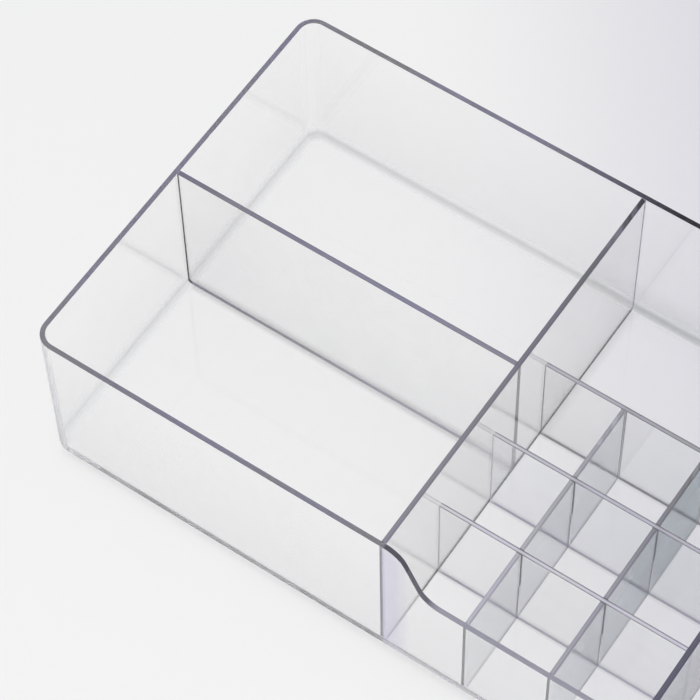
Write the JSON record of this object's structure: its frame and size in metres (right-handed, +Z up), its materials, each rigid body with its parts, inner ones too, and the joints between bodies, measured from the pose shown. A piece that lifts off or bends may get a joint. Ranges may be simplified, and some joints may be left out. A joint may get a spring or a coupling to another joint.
{
  "type": "vanity organizer",
  "caption": "Clear open-topped vanity organizer tray with long bays, a grid of small square cells behind a low front wall, and deeper bays behind and beside it.",
  "frame": {"origin": "on the surface the organizer stands on, under the middle of the tray", "axes": "+X along the tray from the long bays to the right bay, +Y from the front to the back, +Z up"},
  "size_m": [0.2852, 0.1526, 0.0672],
  "materials": {
    "clear_tray": "clear colourless polystyrene, polished, with darker violet-grey edges",
    "clear_panel": "clear colourless polystyrene, polished, with darker violet-grey edges",
    "clear_foot": "clear colourless polystyrene, polished"
  },
  "bodies": {
    "root": {"outer_tray": "clear_tray", "main_divider": "clear_panel", "left_partition": "clear_panel", "end_divider": "clear_panel", "grid_row_front": "clear_panel", "grid_row_middle": "clear_panel", "grid_row_rear": "clear_panel", "grid_column_left": "clear_panel", "grid_column_right": "clear_panel", "foot_front_left": "clear_foot", "foot_front_middle": "clear_foot", "foot_front_right": "clear_foot", "foot_rear_left": "clear_foot", "foot_rear_middle": "clear_foot", "foot_rear_right": "clear_foot"}
  },
  "joints": []
}
